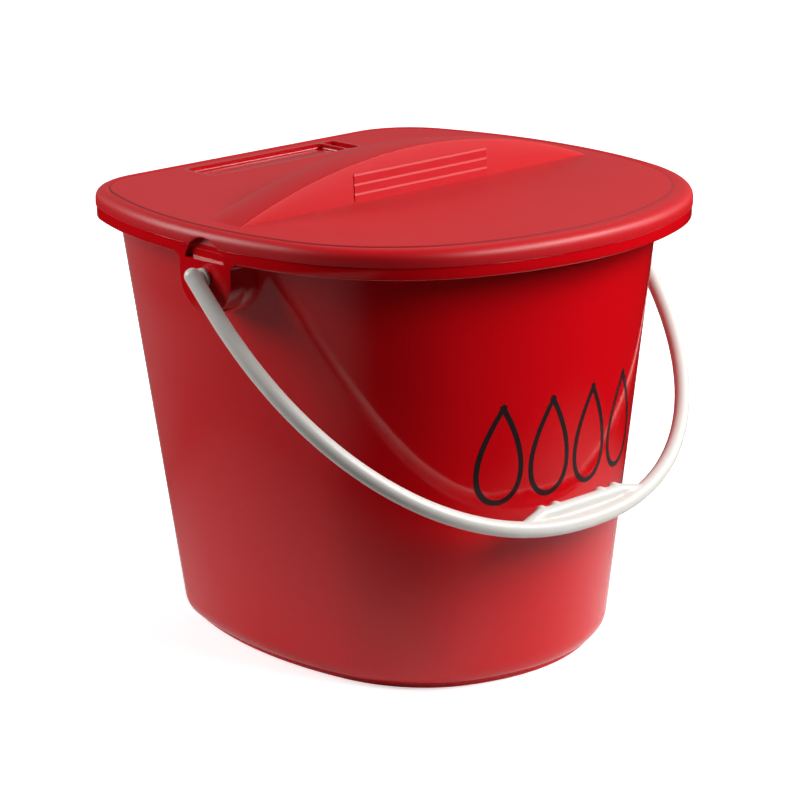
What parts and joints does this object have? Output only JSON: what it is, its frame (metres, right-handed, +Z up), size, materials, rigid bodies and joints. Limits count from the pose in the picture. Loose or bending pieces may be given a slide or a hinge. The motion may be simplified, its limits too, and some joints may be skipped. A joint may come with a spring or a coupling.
{
  "type": "fire bucket",
  "caption": "Flat-backed plastic bucket with a rolled rim, a lift-off lid with a raised finger ridge, and a swinging bail handle.",
  "frame": {"origin": "on the ground, below the middle of the rim's width and depth", "axes": "+X to the right of someone facing the bucket, -Y out of its front, +Y out of its flat back, +Z up"},
  "size_m": [0.3196, 0.277, 0.2748],
  "materials": {
    "bucket_plastic": "gloss moulded red polypropylene",
    "lid_plastic": "satin moulded red polypropylene",
    "handle_plastic": "satin moulded white polypropylene"
  },
  "bodies": {
    "bucket": {"foot_ring": "bucket_plastic", "bucket_base": "bucket_plastic", "bucket_wall": "bucket_plastic", "rim_ledge": "bucket_plastic", "rim_band": "bucket_plastic", "left_ear": "bucket_plastic", "right_ear": "bucket_plastic"},
    "lid": {"lid_panel": "lid_plastic", "lid_skirt": "lid_plastic", "lid_ridge": "lid_plastic", "ridge_grip_panel": "lid_plastic", "lid_recess": "lid_plastic", "locating_rib": "lid_plastic"},
    "handle": {"handle_bow": "handle_plastic", "left_bend": "handle_plastic", "right_bend": "handle_plastic", "left_leg": "handle_plastic", "right_leg": "handle_plastic", "handle_grip": "handle_plastic", "left_pin": "handle_plastic", "right_pin": "handle_plastic"}
  },
  "joints": [
    {"name": "lid_lift", "type": "slide", "parent": "bucket", "child": "lid", "axis": [0, 0, 1], "range_m": [0, 0.15]},
    {"name": "handle_swing", "type": "hinge", "parent": "bucket", "child": "handle", "pos_m": [0, 0.0045, 0.2255], "axis": [-1, 0, 0], "range_deg": [0, 264]}
  ]
}
